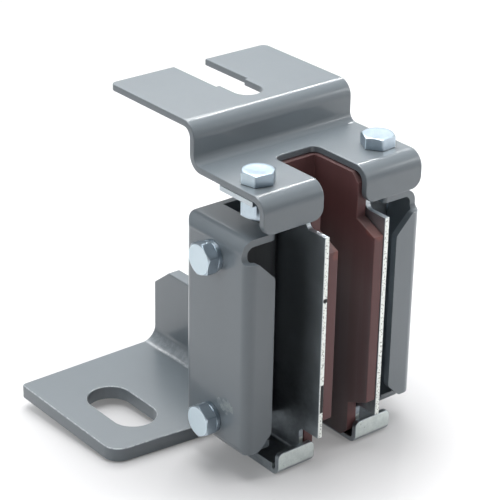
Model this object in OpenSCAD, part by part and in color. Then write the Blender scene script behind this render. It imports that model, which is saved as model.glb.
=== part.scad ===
// Sliding guide shoe for an elevator car or counterweight.
// A moulded liner runs on the rail. A sheet holder, cushioned in a lipped body, carries the liner.
// Origin: rail mid-plane, on the floor of the liner slot, at the height of the base's underside.
// X runs across the rail, Y away from the rail, Z up along the rail.

/* [Rail channel and liner] */
// Width of the liner slot
slot_w = 19.4; // [12:0.1:24]
// Depth of the liner slot from its mouth to its floor
slot_depth = 38.3; // [36:0.1:44]
// Thickness of each liner arm
arm_t = 5; // [4:0.1:8]
// Thickness of the liner's back wall
liner_back_t = 5; // [3:0.1:8]
// Rise of the sloped shoulders at both ends of the liner's nose
nose_slope = 5; // [2:0.1:8]
// Distance from the holder's front shoulders to the liner's own
nose_drop = 2.7; // [1:0.1:5]
// Clearance round the liner
liner_gap = 0.15; // [0.1:0.05:0.4]

/* [Holder] */
// Sheet thickness of the holder
holder_t = 2.3; // [1.6:0.1:3]
// Height of the holder's top above the body's top edge
holder_rise = 16.8; // [16:0.1:30]
// Inside bend radius of the holder
holder_bend_r = 1.6; // [1:0.1:2.5]
// How far the side plates stand out in front of the liner
plate_out = 0.3; // [0:0.1:2]
// Gap between the top bracket's lips and the plates' front part below them
gap_top = 4; // [1:0.1:8]
// Gap between the bottom plate's lips and the plates' front part above them
gap_bottom = 6.7; // [1:0.1:10]
// Fillet in the corners beside those two gaps
step_r = 2.5; // [1:0.1:4]
// Length of the outward tabs along Y
tab_len = 21; // [18:0.1:23]

/* [Top bracket] */
// Width of the top bracket
bracket_w = 84; // [80:0.5:100]
// Sheet thickness of the top bracket
bracket_t = 3; // [2:0.1:4]
// Inside bend radius of the top bracket
bracket_bend_r = 4; // [2:0.1:5]
// Height of the upper flange above the lower flange
bracket_rise = 17.3; // [15:0.1:30]
// Distance of the web's front face behind the slot floor
web_setback = 14.8; // [12:0.1:24]
// Depth of the upper flange from the web's front face
upper_depth = 58.7; // [52:0.1:80]
// Distance of the lips' front face in front of the slot floor
lip_forward = 30.4; // [26:0.1:32]
// Height of the lips from the lower flange's top
lip_drop = 15.6; // [13:0.1:17]
// Corner radius at the lips' lower ends
lip_corner_r = 5; // [2:0.1:6]
// Side clearance of the rail notch from the liner slot
notch_side = 1.55; // [1:0.05:3]
// Depth of the rail notch behind the slot floor
notch_back = 1.9; // [1:0.1:4]
// Corner radius of the rail notch
notch_r = 3.5; // [2:0.1:6]
// Width of the lubricator slot at its mouth
cup_mouth_w = 16.8; // [14:0.1:22]
// Width of the lubricator slot inside
cup_slot_w = 13.2; // [10:0.1:13.5]
// Distance from the web's front face to the step in the lubricator slot
cup_step = 29; // [24:0.1:40]
// Distance from the web's front face to the closed end of the lubricator slot
cup_end = 12.4; // [9:0.1:14]
// Corner radius at the rear of the upper flange
upper_corner_r = 3; // [1:0.1:6]

/* [Body] */
// Width of the body over its side plates
body_w = 93.5; // [88:0.5:110]
// Sheet thickness of the body
body_t = 3; // [2.5:0.1:4]
// Depth of the body from its back to the front of its lips
body_depth = 42.1; // [40:0.1:50]
// Height of the body
body_h = 98.6; // [92:0.1:102]
// Height of the body's lower edge above the base's underside
body_z = 13.2; // [12:0.1:16]
// Inside bend radius of the body
body_bend_r = 1.6; // [1:0.1:3]
// Width of the flanges above and below, from the body's side
flange_w = 17.8; // [12:0.1:22]
// Inside bend radius of the flanges
flange_bend_r = 3; // [1:0.1:3.2]
// Rounding of the flanges' inner front corners
flange_corner_r = 2; // [0.5:0.1:4]
// Width of the front lips from the body's side
lip_w = 13.9; // [10:0.1:18]
// How far the lips' top ends lie below the body's top
lip_step = 8.8; // [6:0.1:10]
// How far the lips' bottom ends lie above the body's lower edge
lip_lift = 2.8; // [2.2:0.1:6]
// Bevel on the lips' top inner corners
lip_bevel_top = 8.6; // [2:0.1:9]
// Bevel on the lips' bottom inner corners
lip_bevel_bottom = 6.5; // [2:0.1:9]
// Rounding where those bevels meet the lips' edges
lip_bevel_r = 2.5; // [1:0.1:4]
// Fillets in the steps beside the lips' ends
lip_step_r = 2; // [1:0.1:2.2]

/* [Cushions] */
// Thickness of the rubber pad behind the holder
pad_t = 4.4; // [2:0.1:6]
// Gap between the rubber blocks and the flanges
cushion_gap = 0.4; // [0.2:0.1:3]
// Rubber left in front of the threaded sleeves
cushion_wall = 1.5; // [1:0.1:6]
// Corner radius of the rubber blocks
cushion_r = 4.5; // [4.2:0.1:7]
// Diameter of the threaded sleeves in the rubber blocks
insert_d = 11; // [10.5:0.1:11.4]
// Length of the threaded sleeves
insert_l = 14; // [12:0.5:18]

/* [Base bracket] */
// Plate thickness of the base bracket
base_t = 6.5; // [5:0.1:8]
// Distance of the base's outer edge from the rail mid-plane
base_out = 78.9; // [70:0.1:90]
// Distance of the base's rear edge behind the body
base_len = 78.9; // [70:0.1:95]
// Inside bend radius of the base bracket
base_bend_r = 7; // [4:0.1:9]
// Distance of the upright leg's outer face from the rail mid-plane
leg_x = 4.8; // [3:0.1:8]
// Height of the upright leg's top edge
leg_h = 44.7; // [36:0.1:60]
// Length of the bevel at the leg's rear top corner, along Y
leg_bevel_y = 11; // [4:0.1:16]
// Height of the bevel at the leg's rear top corner
leg_bevel_z = 8.6; // [4:0.1:12]
// How far the base's front edge slants back at its outer end
front_slant = 6.6; // [2:0.1:10]
// Radius of the base's front outer corner
base_corner_r = 8; // [4:0.1:12]
// Radius of the base's rear outer corner
base_rear_r = 2; // [1:0.1:6]
// Width of the mounting slot
base_slot_w = 20; // [14:0.1:22]
// Length of the mounting slot from end to end
base_slot_l = 38; // [30:0.1:42]
// Distance of the mounting slot's centre from the base's outer edge
base_slot_x = 25; // [20:0.1:30]
// Distance of the mounting slot's centre from the base's rear edge
base_slot_y = 42.8; // [36:0.1:46]
// Leg length of the weld seams
weld_leg = 5; // [3:0.1:6]

/* [Bottom plate] */
// Sheet thickness of the bottom plate
foot_t = 2.3; // [1.6:0.1:3]
// Half width of the bottom plate
foot_out = 31.3; // [28:0.1:36]
// Side clearance of its prongs from the liner slot
foot_side = 2; // [1:0.1:4]
// Height of its front lips
foot_lip_h = 10.5; // [8:0.1:12]
// Inside bend radius of the lips
foot_bend_r = 1.5; // [1:0.1:2.5]
// Corner radius at the lips' top ends
foot_corner_r = 2.5; // [1:0.1:4]
// Height of the bottom plate above the base's underside
foot_clear = 2.5; // [1:0.1:4]

/* [Fasteners] */
// Thread diameter of the bolts
bolt_d = 8; // [6:1:8]
// Width across flats of heads and nuts
bolt_af = 13; // [10:0.5:14]
// Height of the bolt heads
head_h = 5.3; // [4:0.1:6]
// Height of the nuts
nut_h = 6.5; // [5:0.1:7]
// Thickness of the spring washers
spring_t = 2; // [1.2:0.1:2.5]
// Outer diameter of the spring washers
spring_d = 13.4; // [12:0.1:15]
// Distance of the top bolts from the bracket's sides
top_bolt_edge = 10.2; // [8:0.1:14]
// Distance of the top bolts behind the lips' front face
top_bolt_back = 16.6; // [15:0.1:20]
// Length of the top bolts' ends below their nuts
top_bolt_end = 2; // [1:0.1:4]
// Distance of the side bolts from the body's top and bottom edges
side_bolt_edge = 11.8; // [10:0.05:25]
// Distance of the side bolts in front of the body's back
side_bolt_y = 19.2; // [16:0.1:22]
// Depth of the side bolts in their sleeves
side_bolt_in = 11; // [8:0.1:12]
// Radial clearance of the bolts in their holes
hole_gap = 0.5; // [0.2:0.1:1]
// Radial clearance left for the threads
thread_gap = 0.1; // [0.05:0.05:0.3]

/* [Hidden] */
$fn = 64;
// How far a cutting shape runs past the face it cuts
over = 1;
// Reach of a cutting shape that runs out of the whole part
far = 400;
// Gap between a sheet's edge and the inside of a neighbour's bend
seat_gap = 0.4;
// Width of the slit in a spring washer
spring_slit = 1.2;
// Chamfer angle of heads and nuts
hex_bevel = 30;

// Outside bend radii
holder_bend = holder_bend_r + holder_t;
bracket_bend = bracket_bend_r + bracket_t;
body_bend = body_bend_r + body_t;
flange_bend = flange_bend_r + body_t;
base_bend = base_bend_r + base_t;
foot_bend = foot_bend_r + foot_t;

// Places across the rail
arm_in = slot_w / 2;
arm_out = arm_in + arm_t;
holder_in = arm_out + liner_gap;
holder_out = holder_in + holder_t;
body_out = body_w / 2;
body_in = body_out - body_t;
body_lip_in = body_out - lip_w;
flange_in = body_out - flange_w;
notch_w = slot_w + 2 * notch_side;
foot_gap = slot_w + 2 * foot_side;
top_bolt_x = bracket_w / 2 - top_bolt_edge;

// Places along the depth, rail side negative
mouth_y = -slot_depth;
front_y = mouth_y - plate_out;
lip_y = -lip_forward;
upper_front_y = lip_y + bracket_t + seat_gap;
step_y = upper_front_y + seat_gap;
holder_back_in = liner_back_t + liner_gap;
holder_back = holder_back_in + holder_t;
body_back_in = holder_back + pad_t;
body_back = body_back_in + body_t;
body_front = body_back - body_depth;
flange_y = body_front + body_bend;
base_rear = body_back + base_len;
upper_rear = web_setback + upper_depth;
top_tab_y = lip_y + bracket_bend + seat_gap;
bottom_tab_y = lip_y + foot_bend + seat_gap;
top_bolt_y = lip_y + top_bolt_back;
side_y = body_back - side_bolt_y;
cushion_front = side_y - insert_d / 2 - cushion_wall;

// Heights
body_top = body_z + body_h;
holder_z = foot_clear + foot_t;
holder_top = body_top + holder_rise;
low_z = holder_top + bracket_t;
up_z = low_z + bracket_rise;
lip_end_z = low_z - lip_drop;
plate_top = lip_end_z - gap_top;
plate_bottom = foot_clear + foot_lip_h + gap_bottom;
nose_top = plate_top - nose_drop;
nose_bottom = plate_bottom + nose_drop;
body_lip_top = body_top - lip_step;
body_lip_z = body_z + lip_lift;
cushion_z = body_z + body_t + cushion_gap;
cushion_top = body_top - body_t - cushion_gap;
side_zs = [body_z + side_bolt_edge, body_top - side_bolt_edge];
weld_z = max(body_z, base_bend);

// Holes
hole_d = bolt_d + 2 * hole_gap;
thread_d = bolt_d + 2 * thread_gap;

// Shared outlines

// Quarter of a bent sheet, with its centre at the origin, opening towards the first quadrant
module bend(inner, t) {
    intersection() {
        difference() {
            circle(inner + t);
            circle(inner);
        }
        square(inner + t + over);
    }
}

// What a rounded outer corner at the origin loses, with the material in the first quadrant
module corner_waste(r) {
    difference() {
        translate([-over, -over]) square(r + over);
        translate([r, r]) circle(r);
    }
}

// What a 45 degree bevel with rounded ends takes off a corner at the origin
module bevel_waste(b, r) {
    ease = r * tan(22.5);
    off = ease / sqrt(2);
    difference() {
        polygon([[-over, -over], [b + ease, -over], [b + ease, r], [b - off, off], [off, b - off],
            [r, b + ease], [-over, b + ease]]);
        translate([b + ease, r]) circle(r);
        translate([r, b + ease]) circle(r);
    }
}

// What a fillet fills in an inner corner at the origin, open towards the first quadrant
module fillet(r) {
    difference() {
        square(r);
        translate([r, r]) circle(r);
    }
}

module rounded_rect(x0, y0, x1, y1, r) {
    translate([x0 + r, y0]) square([x1 - x0 - 2 * r, y1 - y0]);
    translate([x0, y0 + r]) square([x1 - x0, y1 - y0 - 2 * r]);
    for (x = [x0 + r, x1 - r], y = [y0 + r, y1 - r]) translate([x, y]) circle(r);
}

// Outline in Y and Z, drawn out along X
module along_x(x0, x1) {
    translate([x0, 0, 0]) rotate([90, 0, 90]) linear_extrude(x1 - x0) children();
}

// Outline in X and Z, drawn out along Y
module along_y(y0, y1) {
    translate([0, y1, 0]) rotate([90, 0, 0]) linear_extrude(y1 - y0) children();
}

// Outline in X and Y, drawn out along Z
module along_z(z0, z1) {
    translate([0, 0, z0]) linear_extrude(z1 - z0) children();
}

module both_sides() {
    children();
    mirror([1, 0, 0]) children();
}

// Rail notch in plan, open to the front
module rail_notch(w) {
    rounded_rect(-w / 2, -far, w / 2, notch_back, notch_r);
}

// Top bracket

module bracket_profile() {
    translate([web_setback + bracket_bend, up_z - bracket_t])
        square([upper_depth - bracket_bend, bracket_t]);
    translate([web_setback + bracket_bend, up_z - bracket_bend])
        rotate(90) bend(bracket_bend_r, bracket_t);
    translate([web_setback, low_z + bracket_bend_r])
        square([bracket_t, bracket_rise - bracket_bend_r - bracket_bend]);
    translate([web_setback - bracket_bend_r, low_z + bracket_bend_r])
        rotate(-90) bend(bracket_bend_r, bracket_t);
    translate([lip_y + bracket_bend, holder_top])
        square([web_setback - bracket_bend_r - lip_y - bracket_bend, bracket_t]);
    translate([lip_y + bracket_bend, low_z - bracket_bend])
        rotate(90) bend(bracket_bend_r, bracket_t);
    translate([lip_y, lip_end_z])
        square([bracket_t, lip_drop - bracket_bend]);
}

module lubricator_slot() {
    round_y = web_setback + cup_end + cup_slot_w / 2;
    translate([0, round_y]) circle(d = cup_slot_w);
    translate([-cup_slot_w / 2, round_y]) square([cup_slot_w, far]);
    translate([-cup_mouth_w / 2, web_setback + cup_step]) square([cup_mouth_w, far]);
}

module lip_corners() {
    for (x = [-bracket_w / 2, notch_w / 2]) translate([x, lip_end_z]) corner_waste(lip_corner_r);
    for (x = [-notch_w / 2, bracket_w / 2]) translate([x, lip_end_z]) mirror([1, 0])
        corner_waste(lip_corner_r);
}

module top_bracket() {
    color("slategray") difference() {
        along_x(-bracket_w / 2, bracket_w / 2) bracket_profile();
        along_z(lip_end_z - over, low_z + over) rail_notch(notch_w);
        along_z(up_z - bracket_t - over, up_z + over) lubricator_slot();
        along_y(lip_y - over, lip_y + bracket_t + over) lip_corners();
        both_sides() along_z(up_z - bracket_t - over, up_z + over) {
            translate([-bracket_w / 2, upper_rear]) mirror([0, 1]) corner_waste(upper_corner_r);
        }
        both_sides() translate([top_bolt_x, top_bolt_y, holder_top - over])
            cylinder(d = hole_d, h = bracket_t + 2 * over);
    }
}

// Holder

module holder_plan() {
    difference() {
        rounded_rect(-holder_out, front_y - far, holder_out, holder_back, holder_bend);
        rounded_rect(-holder_in, front_y - 2 * far, holder_in, holder_back_in, holder_bend_r);
    }
}

// Side plate outline: a full-height part behind the lips and a shorter part in front of them
module plate_profile() {
    translate([step_y, holder_z + holder_bend])
        square([holder_back - step_y, holder_top - holder_z - 2 * holder_bend]);
    translate([front_y, plate_bottom])
        square([step_y - front_y + over, plate_top - plate_bottom]);
    translate([step_y, plate_top]) mirror([1, 0]) fillet(step_r);
    translate([step_y, plate_bottom]) rotate(180) fillet(step_r);
}

module tab_profile(reach) {
    translate([holder_out + holder_bend_r, holder_top - holder_bend]) {
        rotate(90) bend(holder_bend_r, holder_t);
        translate([0, holder_bend_r])
            square([reach - holder_out - holder_bend_r, holder_t]);
    }
}

module holder() {
    color("lightsteelblue") {
        intersection() {
            along_z(holder_z, holder_top) holder_plan();
            along_x(-far, far) plate_profile();
        }
        both_sides() difference() {
            along_y(top_tab_y, top_tab_y + tab_len) tab_profile(bracket_w / 2);
            translate([top_bolt_x, top_bolt_y, holder_top - holder_bend]) cylinder(d = hole_d, h = far);
        }
        both_sides() along_y(bottom_tab_y, bottom_tab_y + tab_len)
            translate([0, holder_z + holder_top]) mirror([0, 1]) tab_profile(foot_out);
    }
}

// Bottom plate

module foot_profile() {
    translate([lip_y + foot_bend, foot_clear]) square([holder_back - lip_y - foot_bend, foot_t]);
    translate([lip_y + foot_bend, foot_clear + foot_bend]) rotate(180) bend(foot_bend_r, foot_t);
    translate([lip_y, foot_clear + foot_bend]) square([foot_t, foot_lip_h - foot_bend]);
}

module foot_corners() {
    top = foot_clear + foot_lip_h;
    for (x = [-foot_out, foot_gap / 2]) translate([x, top]) mirror([0, 1]) corner_waste(foot_corner_r);
    for (x = [-foot_gap / 2, foot_out]) translate([x, top]) rotate(180) corner_waste(foot_corner_r);
}

module bottom_plate() {
    color("lightsteelblue") difference() {
        along_x(-foot_out, foot_out) foot_profile();
        along_z(foot_clear - over, far) rail_notch(foot_gap);
        along_y(lip_y - over, lip_y + foot_t + over) foot_corners();
    }
}

// Liner

module liner_plan() {
    difference() {
        rounded_rect(-arm_out, mouth_y - far, arm_out, liner_back_t, holder_bend);
        translate([-arm_in, -far]) square([slot_w, far]);
    }
}

// Liner outline from the side: a nose in front of the lips, and bevelled ends behind them
module liner_profile() {
    end_top = holder_top - liner_gap;
    polygon([
        [liner_back_t, holder_z],
        [liner_back_t, end_top],
        [upper_front_y + bracket_bend_r, end_top],
        [upper_front_y, end_top - bracket_bend_r],
        [upper_front_y, nose_top],
        [mouth_y, nose_top - nose_slope],
        [mouth_y, nose_bottom + nose_slope],
        [upper_front_y, nose_bottom],
        [upper_front_y, holder_z + bracket_bend_r],
        [upper_front_y + bracket_bend_r, holder_z],
    ]);
}

module liner() {
    color("saddlebrown") intersection() {
        along_z(holder_z, holder_top) liner_plan();
        along_x(-arm_out, arm_out) liner_profile();
    }
}

// Body

// Box with corners rounded in plan by one radius and, seen from the front, by another
module soft_box(x0, x1, y0, y1, z0, z1, plan_r, front_r) {
    intersection() {
        along_z(z0, z1) rounded_rect(x0, y0, x1, y1, plan_r);
        along_y(y0, y1) rounded_rect(x0, z0, x1, z1, front_r);
    }
}

// What stays open in plan, between the flanges and between the lips
module body_middle() {
    translate([-flange_in, body_front - over]) square([2 * flange_in, body_back_in - body_front + over]);
    translate([-body_lip_in, body_front - over]) square([2 * body_lip_in, flange_y - body_front + over]);
    for (x = [-flange_in, flange_in]) translate([x, flange_y]) mirror([x < 0 ? 1 : 0, 0])
        corner_waste(flange_corner_r);
}

// What the sides lose in front, beyond an end of a lip
module lip_step_waste(h) {
    difference() {
        translate([body_front - over, 0]) square([flange_y - body_front + over, h + over]);
        translate([flange_y, 0]) mirror([1, 0]) fillet(lip_step_r);
    }
}

module lip_bevels() {
    translate([body_lip_in, body_lip_top]) mirror([0, 1]) bevel_waste(lip_bevel_top, lip_bevel_r);
    translate([body_lip_in, body_lip_z]) bevel_waste(lip_bevel_bottom, lip_bevel_r);
}

module body() {
    color("slategray") difference() {
        soft_box(-body_out, body_out, body_front, body_back, body_z, body_top, body_bend, flange_bend);
        soft_box(-body_in, body_in, body_front + body_t, body_back_in, body_z + body_t, body_top - body_t,
            body_bend_r, flange_bend_r);
        along_z(body_z - over, body_top + over) body_middle();
        along_x(-far, far) {
            translate([0, body_lip_top]) lip_step_waste(lip_step);
            translate([0, body_lip_z]) mirror([0, 1]) lip_step_waste(lip_lift);
        }
        both_sides() along_y(body_front - over, body_front + body_t + over) lip_bevels();
        for (z = side_zs) both_sides() translate([body_in - over, side_y, z]) rotate([0, 90, 0])
            cylinder(d = hole_d, h = body_t + 2 * over);
    }
}

// Base bracket

module base_profile() {
    translate([-base_out, 0]) square([base_out - leg_x - base_bend_r, base_t]);
    translate([-leg_x - base_bend_r, base_bend]) rotate(-90) bend(base_bend_r, base_t);
    translate([-leg_x, base_bend]) square([base_t, leg_h - base_bend]);
}

// What the base loses in front, so that its edge slants back to a round outer corner
module front_waste() {
    root_x = -leg_x - base_bend_r;
    slope = front_slant / (root_x + base_out);
    slant = sqrt(1 + slope * slope);
    round_x = -base_out + base_corner_r;
    round_y = body_back + slope * (root_x - round_x) + base_corner_r * slant;
    touch = [round_x, round_y] - base_corner_r / slant * [slope, 1];
    difference() {
        translate([-base_out - over, body_back - over])
            square([root_x + base_out + over, round_y - body_back + over]);
        polygon([[root_x + over, body_back - over * slope], touch, [round_x, round_y],
            [-base_out, round_y], [-base_out, round_y + over], [root_x + over, round_y + over]]);
        translate([round_x, round_y]) circle(base_corner_r);
    }
}

module mounting_slot() {
    run = base_slot_l - base_slot_w;
    translate([base_slot_x - base_out, base_rear - base_slot_y]) {
        for (side = [-1, 1]) translate([0, side * run / 2]) circle(d = base_slot_w);
        translate([-base_slot_w / 2, -run / 2]) square([base_slot_w, run]);
    }
}

module leg_bevel() {
    translate([base_rear, leg_h]) polygon([[over, over], [-leg_bevel_y, over], [-leg_bevel_y, 0],
        [0, -leg_bevel_z], [over, -leg_bevel_z]]);
}

module base_bracket() {
    color("slategray") difference() {
        along_y(body_back, base_rear) base_profile();
        along_z(-over, base_t + over) {
            front_waste();
            mounting_slot();
            translate([-base_out, base_rear]) mirror([0, 1]) corner_waste(base_rear_r);
        }
        along_x(-leg_x - over, base_t - leg_x + over) leg_bevel();
    }
}

// Weld seams, hollow in section, on both sides of the leg
module weld_beads() {
    color("dimgray") along_z(weld_z, leg_h) {
        translate([base_t - leg_x, body_back]) fillet(weld_leg);
        translate([-leg_x, body_back]) mirror([1, 0]) fillet(weld_leg);
    }
}

// Cushions

module cushion_right() {
    color("darkslategray") difference() {
        soft_box(holder_out, body_in, cushion_front, body_back_in, cushion_z, cushion_top, cushion_r, cushion_r);
        for (z = side_zs) translate([body_in - insert_l, side_y, z]) rotate([0, 90, 0])
            cylinder(d = insert_d, h = insert_l + over);
    }
}

module cushion_left() {
    mirror([1, 0, 0]) cushion_right();
}

module back_pad() {
    color("darkslategray") translate([-holder_in + holder_bend_r, holder_back, cushion_z])
        cube([2 * (holder_in - holder_bend_r), pad_t, cushion_top - cushion_z]);
}

module cushion_inserts() {
    color("silver") for (z = side_zs) both_sides()
        translate([body_in - insert_l, side_y, z]) rotate([0, 90, 0]) difference() {
            cylinder(d = insert_d, h = insert_l);
            translate([0, 0, insert_l - side_bolt_in - over])
                cylinder(d = thread_d, h = side_bolt_in + 2 * over);
        }
}

// Fasteners

// Hexagon with its corners turned off above
module hex(h) {
    corner_r = bolt_af / sqrt(3);
    slope_h = (corner_r - bolt_af / 2) * tan(hex_bevel);
    intersection() {
        cylinder(r = corner_r, h = h, $fn = 6);
        union() {
            cylinder(r = corner_r + over, h = h - slope_h);
            translate([0, 0, h - slope_h]) cylinder(r1 = corner_r, r2 = bolt_af / 2, h = slope_h);
        }
    }
}

// Bolt with its head's seat at the origin, the head upward
module bolt(l) {
    hex(head_h);
    translate([0, 0, -l]) cylinder(d = bolt_d, h = l);
}

module spring_washer() {
    difference() {
        cylinder(d = spring_d, h = spring_t);
        translate([0, 0, -over]) cylinder(d = bolt_d + 2 * thread_gap, h = spring_t + 2 * over);
        translate([0, -spring_slit / 2, -over]) cube([spring_d, spring_slit, spring_t + 2 * over]);
    }
}

// Repeats a fastener at the four side bolts, with its axis pointing out of the body
module at_side_bolts(out) {
    for (z = side_zs) both_sides() translate([body_out + out, side_y, z]) rotate([0, 90, 0]) children();
}

// Repeats a fastener at the two top bolts
module at_top_bolts(z) {
    both_sides() translate([top_bolt_x, top_bolt_y, z]) children();
}

module side_bolts() {
    color("gainsboro") at_side_bolts(spring_t) bolt(spring_t + body_t + side_bolt_in);
}

module side_spring_washers() {
    color("silver") at_side_bolts(0) spring_washer();
}

module top_bolts() {
    color("gainsboro") at_top_bolts(low_z) bolt(bracket_t + holder_t + spring_t + nut_h + top_bolt_end);
}

module top_spring_washers() {
    color("silver") at_top_bolts(holder_top - holder_t - spring_t) spring_washer();
}

module top_nuts() {
    color("gainsboro") at_top_bolts(holder_top - holder_t - spring_t) mirror([0, 0, 1]) difference() {
        hex(nut_h);
        translate([0, 0, -over]) cylinder(d = thread_d, h = nut_h + 2 * over);
    }
}

top_bracket();
holder();
bottom_plate();
liner();
body();
base_bracket();
weld_beads();
cushion_left();
cushion_right();
back_pad();
cushion_inserts();
side_bolts();
side_spring_washers();
top_bolts();
top_spring_washers();
top_nuts();
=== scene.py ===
import math

import bmesh
import bpy
from mathutils import Matrix, Vector


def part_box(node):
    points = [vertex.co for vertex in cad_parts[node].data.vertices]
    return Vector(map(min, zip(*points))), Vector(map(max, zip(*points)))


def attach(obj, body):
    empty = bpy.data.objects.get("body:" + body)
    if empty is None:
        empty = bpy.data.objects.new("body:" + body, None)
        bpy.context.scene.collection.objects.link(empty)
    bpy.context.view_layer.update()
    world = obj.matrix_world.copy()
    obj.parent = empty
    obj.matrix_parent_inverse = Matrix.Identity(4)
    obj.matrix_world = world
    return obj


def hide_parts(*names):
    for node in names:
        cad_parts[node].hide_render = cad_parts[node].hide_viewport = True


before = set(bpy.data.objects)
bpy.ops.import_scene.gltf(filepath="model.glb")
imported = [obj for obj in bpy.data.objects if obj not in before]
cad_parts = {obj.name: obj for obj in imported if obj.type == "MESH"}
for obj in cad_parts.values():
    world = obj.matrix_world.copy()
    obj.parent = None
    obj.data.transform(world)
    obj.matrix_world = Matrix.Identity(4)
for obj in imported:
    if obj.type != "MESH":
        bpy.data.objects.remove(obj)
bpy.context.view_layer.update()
scene = bpy.context.scene
scene.view_settings.view_transform = "Standard"
mm = 0.001
upward = (0, 0, 1)
frontward = (0, -1, 0)
leftward = (-1, 0, 0)
rightward = (1, 0, 0)
print("frame loaded:", len(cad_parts), "nodes")


# small helpers for node trees

def addNode(tree, kind, sockets=None, **settings):
    made = tree.nodes.new(kind)
    for name, value in settings.items():
        setattr(made, name, value)
    for name, value in (sockets or {}).items():
        if isinstance(value, bpy.types.NodeSocket):
            tree.links.new(value, made.inputs[name])
        else:
            made.inputs[name].default_value = value
    return made


def combine(tree, operation, first, second=0.0, clamp=False):
    return addNode(tree, "ShaderNodeMath", {0: first, 1: second},
                   operation=operation, use_clamp=clamp).outputs[0]


def times(tree, first, second):
    return combine(tree, "MULTIPLY", first, second)


def vectorStep(tree, operation, first, second=(0.0, 0.0, 0.0), output="Vector"):
    made = addNode(tree, "ShaderNodeVectorMath", {0: first, 1: second}, operation=operation)
    return made.outputs[output]


def axesOf(tree, where):
    return addNode(tree, "ShaderNodeSeparateXYZ", {0: where}).outputs


def remap(tree, value, low, high, toLow=0.0, toHigh=1.0):
    sockets = {"Value": value, "From Min": low, "From Max": high, "To Min": toLow, "To Max": toHigh}
    return addNode(tree, "ShaderNodeMapRange", sockets, interpolation_type="SMOOTHSTEP").outputs[0]


def spread(tree, mask, low, high):
    # a mask's whole range, brought between two values
    return remap(tree, mask, 0.0, 1.0, low, high)


def noise(tree, where, scale, detail, roughness=0.5):
    sockets = {"Vector": where, "Scale": scale, "Detail": detail, "Roughness": roughness}
    return addNode(tree, "ShaderNodeTexNoise", sockets).outputs[0]


def blendColour(tree, mask, first, second):
    # inputs 6 and 7 of the node are its two colours, and output 2 is the blend
    sockets = {0: mask}
    for index, colour in ((6, first), (7, second)):
        sockets[index] = colour if isinstance(colour, bpy.types.NodeSocket) else (*colour, 1.0)
    return addNode(tree, "ShaderNodeMix", sockets, data_type="RGBA").outputs[2]


def newGroup(name, output, vectors, values):
    group = bpy.data.node_groups.new(name, "ShaderNodeTree")
    for kind, socketNames in (("Vector", vectors), ("Float", values)):
        for socketName in socketNames:
            group.interface.new_socket(socketName, in_out="INPUT", socket_type="NodeSocket" + kind)
    group.interface.new_socket(output, in_out="OUTPUT", socket_type="NodeSocketFloat")
    given = group.nodes.new("NodeGroupInput").outputs
    return group, given, group.nodes.new("NodeGroupOutput").inputs[output]


def place(tree, group, sockets, where=None):
    given = dict(sockets)
    if where is not None:
        given["Vector"] = where
    return addNode(tree, "ShaderNodeGroup", given, node_tree=group).outputs[0]


# effects that several finishes share

noiseMiddle = 0.5


def swing(tree, value, contrast):
    # a mask from noise: the smaller the contrast value, the harder its borders
    low = combine(tree, "SUBTRACT", noiseMiddle, contrast)
    high = combine(tree, "ADD", noiseMiddle, contrast)
    return remap(tree, value, low, high)


cloudShape = {
    "details": (3.0, 2.0),   # of the wide and the fine noise
    "shares": (0.7, 0.3),
    "roughness": 0.55,
    "finer": 4.3,
}


def cloudingGroup():
    group, given, mask = newGroup("clouding", "Mask", ["Vector"], ["Scale", "Contrast"])
    wideDetail, fineDetail = cloudShape["details"]
    wideShare, fineShare = cloudShape["shares"]
    wide = noise(group, given["Vector"], given["Scale"], wideDetail, cloudShape["roughness"])
    fineScale = times(group, given["Scale"], cloudShape["finer"])
    fine = noise(group, given["Vector"], fineScale, fineDetail)
    mixed = combine(group, "ADD", times(group, wide, wideShare), times(group, fine, fineShare))
    group.links.new(swing(group, mixed, given["Contrast"]), mask)
    return group


peelShape = {
    "details": (1.0, 2.0),   # of the waves and the grit
    "finer": 3.6,
}


def orangePeelGroup():
    group, given, height = newGroup("orange peel", "Height", ["Vector"], ["Scale", "Grit"])
    waveDetail, gritDetail = peelShape["details"]
    waves = noise(group, given["Vector"], given["Scale"], waveDetail)
    gritScale = times(group, given["Scale"], peelShape["finer"])
    grit = noise(group, given["Vector"], gritScale, gritDetail)
    group.links.new(combine(group, "ADD", waves, times(group, grit, given["Grit"])), height)
    return group


wearAndHighlightShape = {
    "samples": 4,
    "wornAndLit": (0.97, 0.80),   # agreement of the rounded and the flat normal: off the edge, then on it
    "patchy": (0.38, 0.62),
    "detail": 4.0,
}


# mask of the edges, for wear and for a painted highlight along them
def edgeWearAndHighlightGroup():
    group, given, mask = newGroup("edge wear and highlight", "Mask", ["Vector"], ["Radius", "Breakup"])
    rounded = addNode(group, "ShaderNodeBevel", {"Radius": given["Radius"]}, samples=wearAndHighlightShape["samples"])
    flat = addNode(group, "ShaderNodeNewGeometry").outputs["True Normal"]
    closeness = vectorStep(group, "DOT_PRODUCT", rounded.outputs[0], flat, "Value")
    wornAndLit = remap(group, closeness, *wearAndHighlightShape["wornAndLit"])
    patches = noise(group, given["Vector"], given["Breakup"], wearAndHighlightShape["detail"])
    patchy = remap(group, patches, *wearAndHighlightShape["patchy"])
    group.links.new(times(group, wornAndLit, patchy), mask)
    return group


speckCore = 0.4   # the part of a speck's size that is solid


def specksGroup():
    group, given, mask = newGroup("specks", "Mask", ["Vector"], ["Scale", "Size", "Share"])
    sockets = {"Vector": given["Vector"], "Scale": given["Scale"]}
    cells = addNode(group, "ShaderNodeTexVoronoi", sockets).outputs
    dot = remap(group, cells["Distance"], given["Size"], times(group, given["Size"], speckCore))
    pick = addNode(group, "ShaderNodeSeparateColor", {0: cells["Color"]}).outputs[0]
    chosen = combine(group, "LESS_THAN", pick, given["Share"])
    group.links.new(times(group, dot, chosen), mask)
    return group


streakShape = {"detail": 4.0, "roughness": 0.6}


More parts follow.
